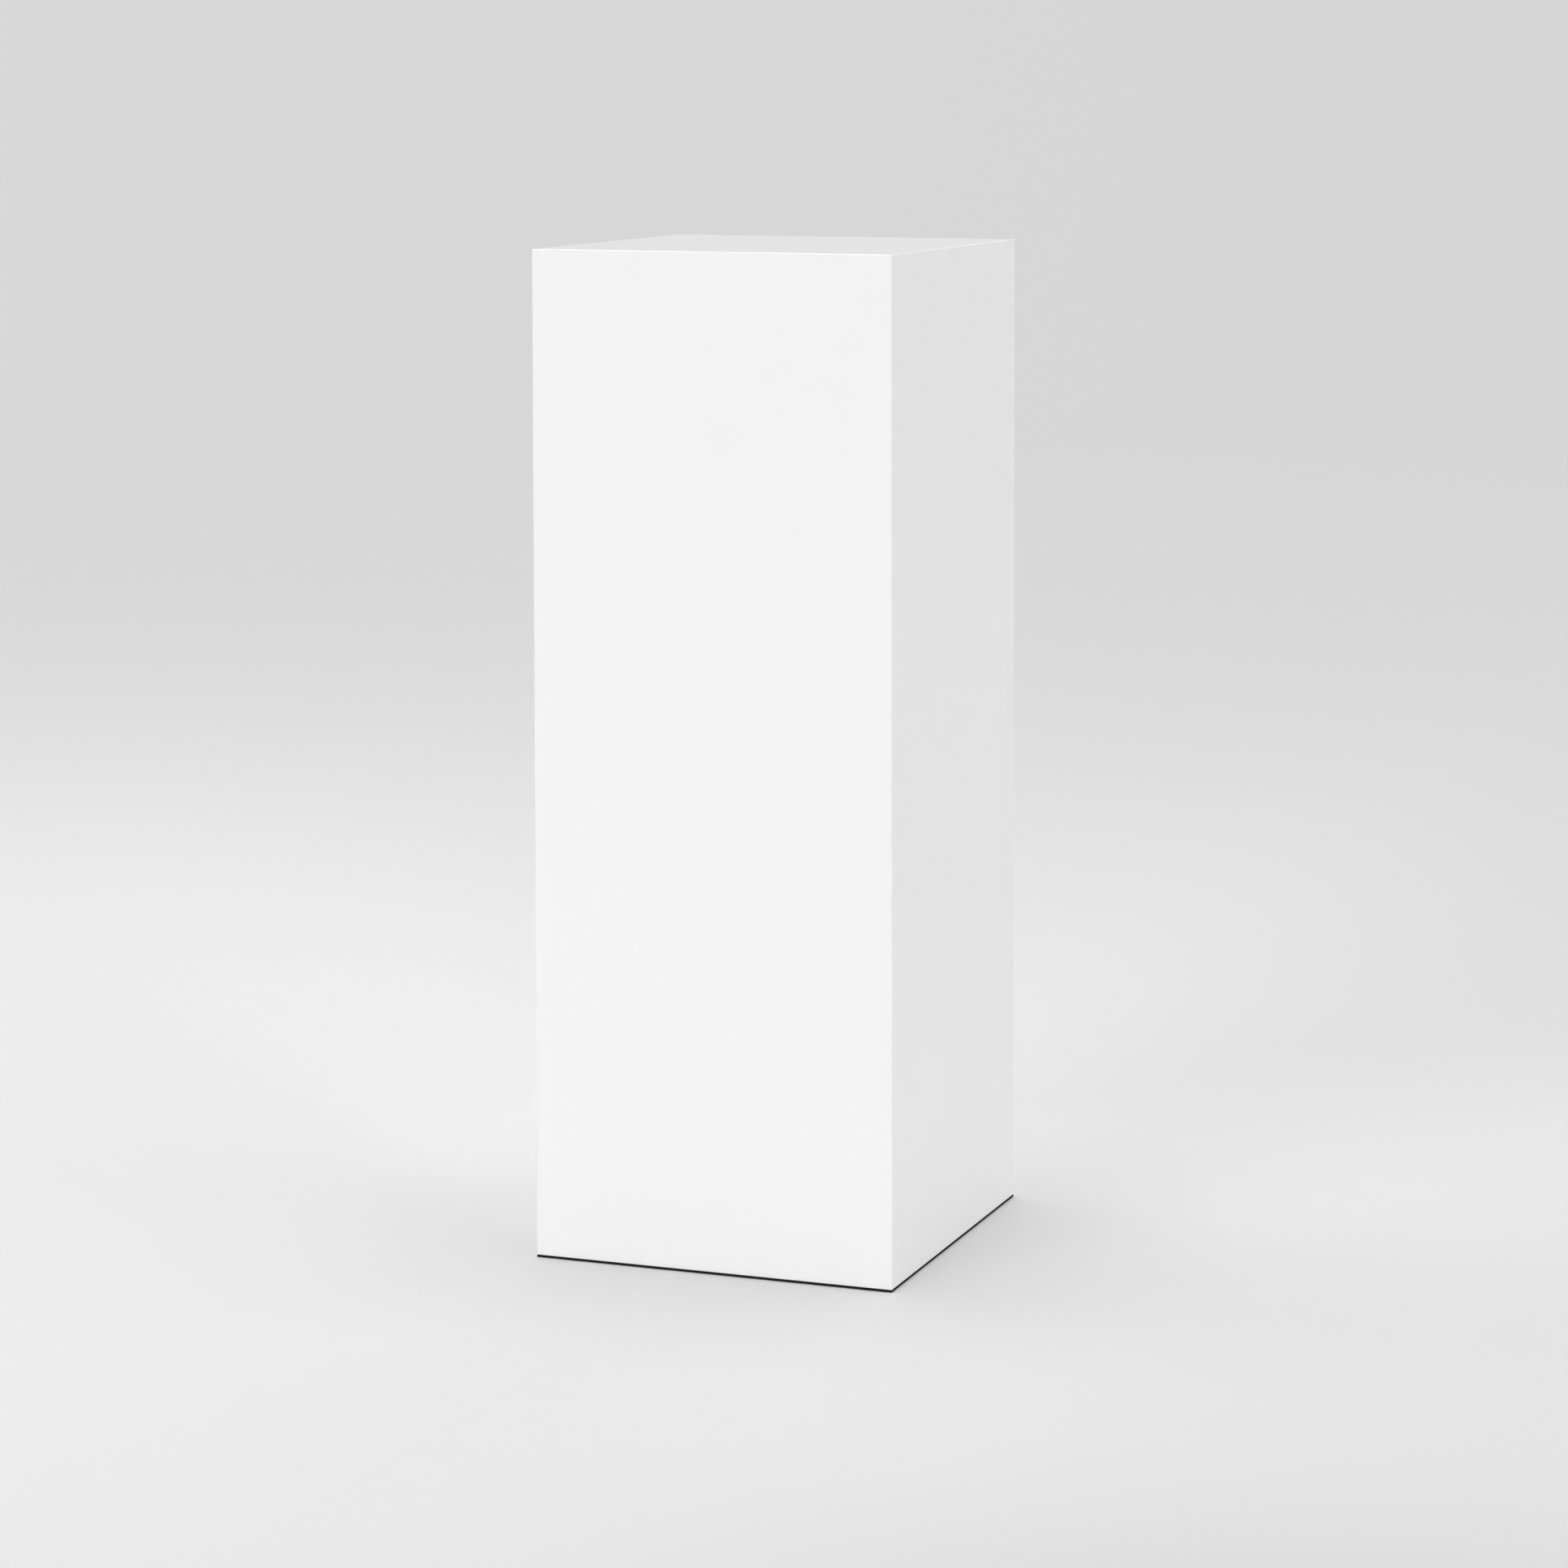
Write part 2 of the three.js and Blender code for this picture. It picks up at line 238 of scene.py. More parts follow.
def mix(tree, factor, first, second):
    """Output of a colour mix node."""
    node = tree.nodes.new("ShaderNodeMix")
    node.data_type = "RGBA"
    colour_inputs = [socket for socket in node.inputs if socket.type == "RGBA"]
    fill(tree, node.inputs["Factor"], factor)
    fill(tree, colour_inputs[0], first)
    fill(tree, colour_inputs[1], second)
    return next(socket for socket in node.outputs if socket.type == "RGBA")


def blend(tree, factor, first, second):
    """Output of a mix of two numbers."""
    node = add(tree, "ShaderNodeMix", Factor=factor)
    fill(tree, node.inputs["A"], first)
    fill(tree, node.inputs["B"], second)
    return node.outputs["Result"]


# Most of a noise texture's values lie between these.
NOISE_LOW = 0.3
NOISE_HIGH = 0.7


def ramp(tree, value, low=NOISE_LOW, high=NOISE_HIGH, to_low=0.0, to_high=1.0):
    """Output of a map range node, held at its ends."""
    node = add(tree, "ShaderNodeMapRange", Value=value, From_Min=low, From_Max=high)
    node.inputs["To Min"].default_value = to_low
    node.inputs["To Max"].default_value = to_high
    return node.outputs["Result"]


def place_vector(tree, stretch=(1, 1, 1)):
    """The shaded point in the frame's axes, scaled by stretch."""
    coordinates = add(tree, "ShaderNodeTexCoord")
    scaled = add(tree, "ShaderNodeVectorMath", {"operation": "MULTIPLY"})
    tree.links.new(coordinates.outputs["Object"], scaled.inputs[0])
    scaled.inputs[1].default_value = stretch
    return scaled.outputs[0]


def noise(tree, scale, detail=2.0, roughness=0.5, stretch=(1, 1, 1), distortion=0.0):
    """Output of a noise texture. Its scale is in cycles per metre."""
    node = add(
        tree,
        "ShaderNodeTexNoise",
        Vector=place_vector(tree, stretch),
        Scale=scale,
        Detail=detail,
        Roughness=roughness,
        Distortion=distortion,
    )
    return node.outputs["Fac"]


def bump(tree, shader, height, distance, strength):
    """Connects a bump of the given depth in metres to the shader."""
    node = add(tree, "ShaderNodeBump", Height=height, Distance=distance, Strength=strength)
    tree.links.new(node.outputs["Normal"], shader.inputs["Normal"])


def overlay(tree, pattern, share, under, over):
    """Output of one colour laid over another where the pattern is strong, up to a share."""
    return mix(tree, calc(tree, "MULTIPLY", pattern, share), under, over)


def grey(level, warmth=0.0):
    """A grey, or a faintly warm one."""
    return (level * (1 + warmth), level, level * (1 - warmth), 1)


# ---------------------------------------------------------------- materials

# Patterns are given by their scale in cycles per metre, and bumps by their depth.
LACQUER_TONE = 0.76
LACQUER_CLOUDING = 0.004
LACQUER_CLOUDS_PER_METRE = 5
SHEEN_PATCHES_PER_METRE = 14
ORANGE_PEEL_PER_METRE = 420
FINE_GRAIN_PER_METRE = 2600
FINE_GRAIN_SHARE = 0.25
PEEL_DEPTH = 0.006 * MM
SCUFFS_PER_METRE = 220
SCUFF_HEIGHT = 25 * MM
SCUFF_SHARE = 0.04
GRIME = grey(0.35, 0.05)


def lacquer():
    """Sprayed white eggshell: faint orange peel, uneven sheen and a scuffed lower edge."""
    material, tree, shader = new_material("white_lacquer")
    clouds = ramp(tree, noise(tree, LACQUER_CLOUDS_PER_METRE, detail=3))
    dim = grey(LACQUER_TONE * (1 - LACQUER_CLOUDING))
    bright = grey(LACQUER_TONE * (1 + LACQUER_CLOUDING))
    coat = mix(tree, clouds, dim, bright)
    height = add(tree, "ShaderNodeSeparateXYZ", Vector=place_vector(tree)).outputs["Z"]
    near_floor = ramp(tree, height, BOX_BOTTOM, BOX_BOTTOM + SCUFF_HEIGHT, 1.0, 0.0)
    scuffs = noise(tree, SCUFFS_PER_METRE, detail=4, roughness=0.6, stretch=(1, 1, 3))
    scuffs = calc(tree, "MULTIPLY", near_floor, ramp(tree, scuffs, 0.55, 0.75))
    fill(tree, shader.inputs["Base Color"], overlay(tree, scuffs, SCUFF_SHARE, coat, GRIME))
    sheen = noise(tree, SHEEN_PATCHES_PER_METRE, detail=4)
    fill(tree, shader.inputs["Roughness"], ramp(tree, sheen, to_low=0.34, to_high=0.42))
    peel = noise(tree, ORANGE_PEEL_PER_METRE, detail=1)
    grain = calc(tree, "MULTIPLY", noise(tree, FINE_GRAIN_PER_METRE, detail=2), FINE_GRAIN_SHARE)
    bump(tree, shader, calc(tree, "ADD", peel, grain), PEEL_DEPTH, 0.6)
    return material


FIBRES_PER_METRE = 900
BLOTCHES_PER_METRE = 25
FIBRE_DEPTH = 0.06 * MM
FIBREBOARD_DARK = (0.30, 0.19, 0.10, 1)
FIBREBOARD_LIGHT = (0.44, 0.30, 0.18, 1)
FIBREBOARD_BLOTCH = (0.27, 0.17, 0.09, 1)


def fibreboard():
    """Raw sanded fibreboard: brown, with fine fibres."""
    material, tree, shader = new_material("raw_fibreboard")
    fibres = noise(tree, FIBRES_PER_METRE, detail=6, roughness=0.7, distortion=0.8)
    fibres = ramp(tree, fibres)
    blotches = ramp(tree, noise(tree, BLOTCHES_PER_METRE, detail=3), 0.35, 0.65)
    board = mix(tree, fibres, FIBREBOARD_DARK, FIBREBOARD_LIGHT)
    board = overlay(tree, blotches, 0.25, board, FIBREBOARD_BLOTCH)
    fill(tree, shader.inputs["Base Color"], board)
    fill(tree, shader.inputs["Roughness"], ramp(tree, fibres, 0, 1, 0.75, 0.9))
    bump(tree, shader, fibres, FIBRE_DEPTH, 0.7)
    return material


def along(axis, length_scale, cross_scale=1.0):
    """Stretch that draws a pattern out along an axis."""
    return tuple(length_scale if i == axis else cross_scale for i in range(3))


RINGS_PER_METRE = 230
RING_WANDER = 9
RING_WANDERS_PER_METRE = 6
LATEWOOD_SHARPNESS = 3.0
KNOT_CELLS_PER_METRE = 11
KNOT_INSIDE = 0.06
KNOT_OUTSIDE = 0.1
KNOT_SWIRL_REACH = 0.3
KNOT_SWIRL_RINGS = 1.6
SPRUCE_STREAKS_PER_METRE = 500
SPRUCE_STREAK_DEPTH = 0.03 * MM
SPRUCE_DARK = (0.64, 0.45, 0.25, 1)
SPRUCE_LIGHT = (0.72, 0.53, 0.32, 1)
SPRUCE_LATEWOOD = (0.46, 0.27, 0.12, 1)
SPRUCE_KNOT = (0.20, 0.10, 0.04, 1)


def softwood(axis):
    """Planed spruce with its grain along an axis: growth rings, a few knots and a dull sheen."""
    material, tree, shader = new_material("softwood_" + "xyz"[axis])
    branch = add(
        tree,
        "ShaderNodeTexVoronoi",
        Vector=place_vector(tree, along(axis, 0.4)),
        Scale=KNOT_CELLS_PER_METRE,
    ).outputs["Distance"]
    knot = ramp(tree, branch, KNOT_INSIDE, KNOT_OUTSIDE, 1, 0)
    swirl = ramp(tree, branch, KNOT_INSIDE, KNOT_SWIRL_REACH, KNOT_SWIRL_RINGS, 0)
    from_pith = add(tree, "ShaderNodeVectorMath", {"operation": "LENGTH"})
    fill(tree, from_pith.inputs[0], place_vector(tree, along(axis, 0)))
    wander = noise(tree, RING_WANDERS_PER_METRE, detail=3, stretch=along(axis, 0.2))
    wander = calc(tree, "MULTIPLY", wander, RING_WANDER)
    rings = calc(tree, "MULTIPLY", from_pith.outputs["Value"], RINGS_PER_METRE)
    rings = calc(tree, "ADD", calc(tree, "ADD", rings, wander), swirl)
    latewood = calc(tree, "POWER", calc(tree, "FRACT", rings), LATEWOOD_SHARPNESS)
    streaks = noise(
        tree, SPRUCE_STREAKS_PER_METRE, detail=4, roughness=0.6, stretch=along(axis, 0.02)
    )
    streaks = ramp(tree, streaks)
    wood = mix(tree, streaks, SPRUCE_DARK, SPRUCE_LIGHT)
    wood = overlay(tree, latewood, 0.6, wood, SPRUCE_LATEWOOD)
    wood = overlay(tree, knot, 0.85, wood, SPRUCE_KNOT)
    fill(tree, shader.inputs["Base Color"], wood)
    fill(tree, shader.inputs["Roughness"], ramp(tree, streaks, 0, 1, 0.55, 0.72))
    bump(tree, shader, streaks, SPRUCE_STREAK_DEPTH, 0.5)
    return material


FIGURE_PER_METRE = 60
PORES_PER_METRE = 700
PLY_FIBRES_PER_METRE = 1500
PLY_DEPTH = 0.04 * MM
FACING_LAYERS = 0.7
BIRCH_DARK = (0.62, 0.42, 0.22, 1)
BIRCH_LIGHT = (0.74, 0.54, 0.32, 1)
BIRCH_PORE = (0.45, 0.28, 0.13, 1)
LONG_GRAIN_PLY = ((0.60, 0.42, 0.24, 1), (0.70, 0.51, 0.31, 1))
END_GRAIN_PLY = ((0.30, 0.17, 0.08, 1), (0.42, 0.26, 0.13, 1))


def plywood(name, layer_axis, grain_axis, layer):
    """Birch plywood: veneer on the faces across layer_axis, stacked plies on the edges."""
    material, tree, shader = new_material(name)
    figure = noise(
        tree,
        FIGURE_PER_METRE,
        detail=5,
        roughness=0.6,
        stretch=along(grain_axis, 0.06),
        distortion=1.2,
    )
    pores = noise(tree, PORES_PER_METRE, detail=3, stretch=along(grain_axis, 0.05))
    pores = ramp(tree, pores, 0.35)
    veneer = mix(tree, ramp(tree, figure), BIRCH_DARK, BIRCH_LIGHT)
    veneer = overlay(tree, pores, 0.2, veneer, BIRCH_PORE)
    split = add(tree, "ShaderNodeSeparateXYZ", Vector=place_vector(tree))
    depth = calc(tree, "DIVIDE", split.outputs["XYZ"[layer_axis]], 2 * layer)
    ply = calc(tree, "GREATER_THAN", calc(tree, "FRACT", depth), 0.5)
    fibres = ramp(tree, noise(tree, PLY_FIBRES_PER_METRE, detail=3, roughness=0.6))
    edge_light = mix(tree, fibres, *LONG_GRAIN_PLY)
    edge_dark = mix(tree, fibres, *END_GRAIN_PLY)
    edge = mix(tree, ply, edge_light, edge_dark)
    normal = add(tree, "ShaderNodeTexCoord").outputs["Normal"]
    facing = add(tree, "ShaderNodeSeparateXYZ", Vector=normal).outputs["XYZ"[layer_axis]]
    on_face = calc(tree, "GREATER_THAN", calc(tree, "ABSOLUTE", facing), FACING_LAYERS)
    fill(tree, shader.inputs["Base Color"], mix(tree, on_face, edge, veneer))
    fill(tree, shader.inputs["Roughness"], ramp(tree, pores, 0, 1, 0.5, 0.7))
    bump(tree, shader, calc(tree, "ADD", pores, fibres), PLY_DEPTH, 0.6)
    return material


RUBBER_DUST_PER_METRE = 90
RUBBER_PITS_PER_METRE = 3000
RUBBER_PIT_DEPTH = 0.05 * MM
# Near black: the rubber's own colour, and also painted shade that makes the gap under the panels read as a
# dark line.
RUBBER_BLACK_GAP_SHADE = grey(0.006)
RUBBER_DUST = grey(0.05)


def rubber():
    """Black closed-cell rubber: matt, finely pitted, with a trace of dust. Its near-black tone also stands
    in for the shade in the gap under the panels.
    """
    material, tree, shader = new_material("black_rubber")
    dust = ramp(tree, noise(tree, RUBBER_DUST_PER_METRE, detail=5, roughness=0.6), 0.55, 0.8)
    tone = overlay(tree, dust, 0.1, RUBBER_BLACK_GAP_SHADE, RUBBER_DUST)
    fill(tree, shader.inputs["Base Color"], tone)
    pits = noise(tree, RUBBER_PITS_PER_METRE, detail=2)
    fill(tree, shader.inputs["Roughness"], ramp(tree, pits, to_low=0.8, to_high=0.95))
    fill(tree, shader.inputs["Specular IOR Level"], 0.2)
    bump(tree, shader, pits, RUBBER_PIT_DEPTH, 0.8)
    return material


NYLON_TEXTURE_PER_METRE = 2200
NYLON_WEAR_PER_METRE = 150
NYLON_TEXTURE_DEPTH = 0.04 * MM
NYLON_BLACK = grey(0.012)
NYLON_WORN = grey(0.035)


def nylon():
    """Moulded black nylon: spark-eroded texture, slightly greyed where it is handled."""
    material, tree, shader = new_material("black_nylon")
    texture = noise(tree, NYLON_TEXTURE_PER_METRE, detail=3)
    wear = ramp(tree, noise(tree, NYLON_WEAR_PER_METRE, detail=4, roughness=0.6), 0.5, 0.75)
    tone = overlay(tree, wear, 0.35, NYLON_BLACK, NYLON_WORN)
    fill(tree, shader.inputs["Base Color"], tone)
    fill(tree, shader.inputs["Roughness"], ramp(tree, texture, to_low=0.42, to_high=0.6))
    bump(tree, shader, texture, NYLON_TEXTURE_DEPTH, 0.7)
    return material


ZINC_CLOUDS_PER_METRE = 160
ZINC_SPOTS_PER_METRE = 500
TURNING_MARKS_PER_METRE = 2500
TURNING_MARK_DEPTH = 0.01 * MM
ZINC_DARK = (0.52, 0.53, 0.55, 1)
ZINC_LIGHT = (0.68, 0.69, 0.70, 1)
ZINC_SPOT = (0.32, 0.31, 0.29, 1)


def zinc_steel():
    """Bright zinc-plated steel: fine turning marks, clouded plating and a few dull spots."""
    material, tree, shader = new_material("zinc_steel")
    clouds = ramp(tree, noise(tree, ZINC_CLOUDS_PER_METRE, detail=4, roughness=0.6))
    plating = mix(tree, clouds, ZINC_DARK, ZINC_LIGHT)
    spots = ramp(tree, noise(tree, ZINC_SPOTS_PER_METRE, detail=5, roughness=0.7), 0.66, 0.74)
    plating = overlay(tree, spots, 0.5, plating, ZINC_SPOT)
    fill(tree, shader.inputs["Base Color"], plating)
    fill(tree, shader.inputs["Metallic"], 1.0)
    marks = noise(tree, TURNING_MARKS_PER_METRE, detail=2, stretch=(0.08, 0.08, 1))
    fill(tree, shader.inputs["Roughness"], ramp(tree, clouds, 0, 1, 0.24, 0.4))
    bump(tree, shader, marks, TURNING_MARK_DEPTH, 0.5)
    return material


BOARD_PLY = 1.4 * MM
TONGUE_PLY = 1.35 * MM
WHITE = lacquer()
FIBREBOARD = fibreboard()
SOFTWOOD = [softwood(axis) for axis in range(3)]
BASE_PLY = plywood("birch_ply_board", 2, 0, BOARD_PLY)
TONGUE_UPRIGHT = plywood("birch_ply_upright", 0, 2, TONGUE_PLY)
TONGUE_LEVEL = [plywood("birch_ply_level_" + "xy"[axis], 2, axis, TONGUE_PLY) for axis in range(2)]
GAP_SHADE_RUBBER = rubber()
NYLON = nylon()
STEEL = zinc_steel()


# ---------------------------------------------------------------- lacquered panels


def skin_normal(across, up):
    """Outward direction on the front panel at angles from its middle: across the arris, and up it.

    Above the face the directions run square to the top panel's, so the two meet along a straight mitre.
    """
    if up > 0:
        return Vector((math.tan(across), -1, math.tan(up))).normalized()
    flat = math.cos(up)
    return Vector((math.sin(across) * flat, -math.cos(across) * flat, math.sin(up)))


def steps_between(start, end, steps):
    """Angles from start to end degrees, in radians."""
    return [math.radians(start + (end - start) * i / steps) for i in range(steps + 1)]


def skin(bm, columns, rows, direction):
    """Faces of an outer skin, and the grid of their points.

    A column or a row is a pair: where the arris's centre lies along its axis, and the normal's angle.
    """
    grid = []
    for row in rows:
        grid.append([bm.verts.new(direction(column, row)) for column in columns])
    for low, high in zip(grid, grid[1:]):
        for i in range(len(low) - 1):
            bm.faces.new((low[i], low[i + 1], high[i + 1], high[i]))
    return grid


def across_columns():
    """Columns of an outer skin, from one upright mitre to the other."""
    left = [(-CORE, angle) for angle in steps_between(-45, 0, ARRIS_STEPS)]
    right = [(CORE, angle) for angle in steps_between(0, 45, ARRIS_STEPS)]
    return left + right


def raw_faces(bm, *loops):
    """Faces of bare board, in the second material slot."""
    for loop in loops:
        bm.faces.new(loop).material_index = 1


def lacquer_normals(obj):
    """Gives lacquered faces the exact normals of the rounded box, so that no mitre shows a seam."""
    mesh = obj.data
    normals = [Vector((0, 0, 0))] * len(mesh.loops)
    for face in mesh.polygons:
        for corner in face.loop_indices:
            if face.material_index:
                normals[corner] = face.normal.copy()
                continue
            point = mesh.vertices[mesh.loops[corner].vertex_index].co
            inner = Vector(min(max(p, low), high) for p, low, high in zip(point, CORE_LOW, CORE_HIGH))
            normals[corner] = (point - inner).normalized()
    mesh.normals_split_custom_set(normals)


# Normals with at least this dot product belong to one face.
SAME_FACE = 0.9


def groove_tool(tongue):
    """A tongue with every face moved out by the groove's clearance."""
    bm = bmesh.new()
    bm.from_mesh(frame["nodes"][tongue].data)
    bmesh.ops.remove_doubles(bm, verts=bm.verts, dist=MERGE)
    moves = {}
    for vert in bm.verts:
        outward = []
        for face in vert.link_faces:
            if all(face.normal.dot(other) < SAME_FACE for other in outward):
                outward.append(face.normal.copy())
        moves[vert] = sum(outward, Vector()) * GROOVE_CLEARANCE
    for vert, step in moves.items():
        vert.co += step
    for face in bm.faces:
        face.material_index = 1
    return mesh_object("groove_tool", bm, WHITE, FIBREBOARD)


def finish_panel(obj, node, tongues):
    """Grooves, exact normals and a place in the frame."""
    for tongue in tongues:
        boolean(obj, groove_tool(tongue), "DIFFERENCE")
    lacquer_normals(obj)
    place(obj, BOX_BODY, node)


def side_panel(quarters):
    """One mitred side panel, shaped at the front and turned to its side."""

    def point(column, row):
        (x, across), (z, up) = column, row
        return Vector((x, -CORE, z)) + ARRIS * skin_normal(across, up)

    lower = [(CORE_LOW.z, angle) for angle in steps_between(-90, 0, 2 * ARRIS_STEPS)]
    upper = [(CORE_HIGH.z, angle) for angle in steps_between(0, 45, ARRIS_STEPS)]
    bm = bmesh.new()
    grid = skin(bm, across_columns(), lower + upper, point)
    low_left, low_right, high_left, high_right = (
        bm.verts.new((x, -ROOM, z)) for z in (BOX_BOTTOM, ROOM_TOP) for x in (-ROOM, ROOM)
    )
    bm.faces.new([*grid[0], low_right, low_left])
    raw_faces(
        bm,
        [*(row[0] for row in grid), high_left, low_left],
        [*(row[-1] for row in grid), high_right, low_right],
        [*grid[-1], high_right, high_left],
        [low_left, low_right, high_right, high_left],
    )
    side = SIDES[quarters]
    obj = mesh_object(f"panel_{side}_lacquered", bm, WHITE, FIBREBOARD)
    move(obj, quarter_turn(quarters))
    tongues = (
        f"corner_tongue_{CORNERS[quarters]}",
        f"corner_tongue_{CORNERS[quarters - 1]}",
        f"top_tongue_{side}",
    )
    finish_panel(obj, f"panel_{side}", tongues)


def top_panel():
    """The top panel, mitred along all four edges."""

    def point(column, row):
        (x, across), (y, back) = column, row
        normal = Vector((math.tan(across), math.tan(back), 1)).normalized()
        return Vector((x, y, CORE_HIGH.z)) + ARRIS * normal

    bm = bmesh.new()
    grid = skin(bm, across_columns(), across_columns(), point)
    front_left, front_right, back_left, back_right = (
        bm.verts.new((x, y, ROOM_TOP)) for y in (-ROOM, ROOM) for x in (-ROOM, ROOM)
    )
    raw_faces(
        bm,
        [*grid[0], front_right, front_left],
        [*grid[-1], back_right, back_left],
        [*(row[0] for row in grid), back_left, front_left],
        [*(row[-1] for row in grid), back_right, front_right],
        [front_left, front_right, back_right, back_left],
    )
    obj = mesh_object("panel_top_lacquered", bm, WHITE, FIBREBOARD)
    finish_panel(obj, "panel_top", [f"top_tongue_{side}" for side in SIDES])


# ---------------------------------------------------------------- timber kept from the frame


TONGUE_EASING = 0.4 * MM
STRIP_EASING = 0.3 * MM


def dress(node, material, eased=0.0):
    """Gives a frame node its material, and eased edges where it has none."""
    obj = frame["nodes"][node]
    obj.data.materials.clear()
    obj.data.materials.append(material)
    if eased:
        weld = obj.modifiers.new("weld", "WELD")
        weld.merge_threshold = MERGE
        bevel = obj.modifiers.new("eased_edges", "BEVEL")
        bevel.width = eased
        bevel.segments = EASING_STEPS
        bevel.limit_method = "ANGLE"
        bevel.angle_limit = SHARP_ANGLE


def dress_timber():
    """Finishes the cleats, rails, posts, tongues and rubber strips."""
    for quarters, side in enumerate(SIDES):
        axis = quarters % 2
        dress(f"top_cleat_{side}", SOFTWOOD[axis])
        dress(f"base_rail_{side}", SOFTWOOD[axis])
        dress(f"top_tongue_{side}", TONGUE_LEVEL[axis], TONGUE_EASING)
        # The rubber strips fill the gap under the panels; their near-black tone also stands in for the
        # gap's shade.
        dress(f"kick_strip_{side}", GAP_SHADE_RUBBER, STRIP_EASING)
    for corner in CORNERS:
        dress(f"corner_post_{corner}", SOFTWOOD[2])
        dress(f"corner_tongue_{corner}", TONGUE_UPRIGHT, TONGUE_EASING)


# ---------------------------------------------------------------- hardware

ROUND = 72
RUNNING_CLEARANCE = 0.2 * MM
HOLE_CLEARANCE = 0.3 * MM

# One turn of a thread's outline: (share of the pitch, share of the way from root to crest).
THREAD_PROFILE = ((0.0, 0.0), (0.14, 0.0), (0.44, 1.0), (0.58, 1.0))
THREAD_FADE = 0.8


def thread(root, crest, pitch, low, high, angle):
    """Points up a right-hand thread at one angle, fading to the root at both ends."""
    turn = angle / (2 * math.pi)
    fade = THREAD_FADE * pitch
    points = []
    for lap in range(-1, math.ceil((high - low) / pitch) + 1):
        for phase, rise in THREAD_PROFILE:
            z = min(max(low + pitch * (lap + phase + turn), low), high)
            full = min(1, (z - low) / fade, (high - z) / fade)
            points.append((root + (crest - root) * rise * full, z))
    return points


# Levelling foot, from the frame's boxes.
stud_low, stud_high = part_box("foot_stud_front_right")
pad_low, pad_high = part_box("foot_pad_front_right")
nut_low, nut_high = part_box("tee_nut_front_right")
M10_RADIUS = 5.0 * MM
M10_ROOT = 4.1 * MM
M10_PITCH = 1.5 * MM
M10_RELIEF = 0.4 * MM
SPIGOT_CHAMFER = 0.8 * MM
COLLAR_ACROSS = stud_high.x - stud_low.x
COLLAR_LOW = pad_high.z + RUNNING_CLEARANCE
COLLAR_HIGH = COLLAR_LOW + 7 * MM
COLLAR_TURNING = 1.1 * MM
COLLAR_STEPS = 4
COLLAR_SLOPE = 0.6
KEY_ACROSS = 5 * MM
KEY_DEPTH = 6 * MM
KEY_POINT = 1 * MM


def stud_column(angle):
    """Spigot, hexagonal collar with turned corners, M10 thread and a hexagon socket in the tip."""
    flat = hexagon(COLLAR_ACROSS, angle)
    collar = []
    for step in range(COLLAR_STEPS + 1):
        out = step / COLLAR_STEPS * COLLAR_TURNING
        collar.append((min(flat, COLLAR_ACROSS / 2 + out), COLLAR_LOW + out * COLLAR_SLOPE))
    collar_top = [(r, COLLAR_LOW + COLLAR_HIGH - z) for r, z in reversed(collar)]
    tip = stud_high.z
    thread_low = COLLAR_HIGH + M10_RELIEF
    socket = hexagon(KEY_ACROSS, angle)
    return [
        (0, stud_low.z),
        (M10_RADIUS - SPIGOT_CHAMFER, stud_low.z),
        (M10_RADIUS, stud_low.z + SPIGOT_CHAMFER),
        (M10_RADIUS, COLLAR_LOW),
        *collar,
        *collar_top,
        (M10_ROOT + M10_RELIEF, COLLAR_HIGH),
        (M10_ROOT, thread_low),
        *thread(M10_ROOT, M10_RADIUS, M10_PITCH, thread_low, tip - M10_RELIEF, angle),
        (M10_ROOT - M10_RELIEF, tip),
        (socket, tip),
        (socket, tip - KEY_DEPTH),
        (0, tip - KEY_DEPTH - KEY_POINT),
    ]


PAD_RADIUS = (pad_high.x - pad_low.x) / 2
PAD_FLUTES = 12
FLUTE_DEPTH = 0.9 * MM
FLUTE_SHARPNESS = 4
SOLE_HOLLOW = 0.3 * MM
SOLE_STEP = 0.5 * MM
SOLE_RIM = 7.5 * MM
PAD_SOLE_ROUND = 1.5 * MM
PAD_RIM_ROUND = 1.0 * MM
PAD_RIM_HEIGHT = 3.6 * MM
PAD_RIM_TURN = 60
PAD_NECK_RADIUS = 9.5 * MM
PAD_NECK_FLARE = 3 * MM
PAD_NECK_FOOT = 6.6 * MM
PAD_NECK_ROUND = 0.8 * MM
PAD_NECK_START = 20
PAD_MOUTH_ROUND = 0.4 * MM


def pad_column(angle):
    """Moulded nylon pad with finger flutes round its rim and a socket for the stud's spigot."""
    wave = max(0.0, math.cos(PAD_FLUTES * angle)) ** FLUTE_SHARPNESS
    rim = PAD_RADIUS - FLUTE_DEPTH * wave
    hollow = PAD_RADIUS - SOLE_RIM
    socket = M10_RADIUS + RUNNING_CLEARANCE
    socket_low = stud_low.z - RUNNING_CLEARANCE
    neck = PAD_NECK_RADIUS - PAD_NECK_ROUND
    mouth = socket + PAD_MOUTH_ROUND
    return [
        (0, SOLE_HOLLOW),
        (hollow - SOLE_STEP, SOLE_HOLLOW),
        (hollow, 0),
        *arc(rim - PAD_SOLE_ROUND, PAD_SOLE_ROUND, PAD_SOLE_ROUND, -90, 0),
        *arc(rim - PAD_RIM_ROUND, PAD_RIM_HEIGHT, PAD_RIM_ROUND, 0, PAD_RIM_TURN),
        (PAD_NECK_RADIUS + PAD_NECK_FLARE, PAD_NECK_FOOT),
        *arc(neck, pad_high.z - PAD_NECK_ROUND, PAD_NECK_ROUND, PAD_NECK_START, 90),
        *arc(mouth, pad_high.z - PAD_MOUTH_ROUND, PAD_MOUTH_ROUND, 90, 180, SMALL_ARC_STEPS),
        (socket, socket_low),
        (0, socket_low),
    ]


BARREL_RADIUS = 6.5 * MM
BARREL_ROOT = 0.5 * MM
NUT_LEAD_IN = 0.6 * MM
NUT_FLANGE_ROUND = 0.8 * MM
NUT_EDGE_ROUND = 0.4 * MM


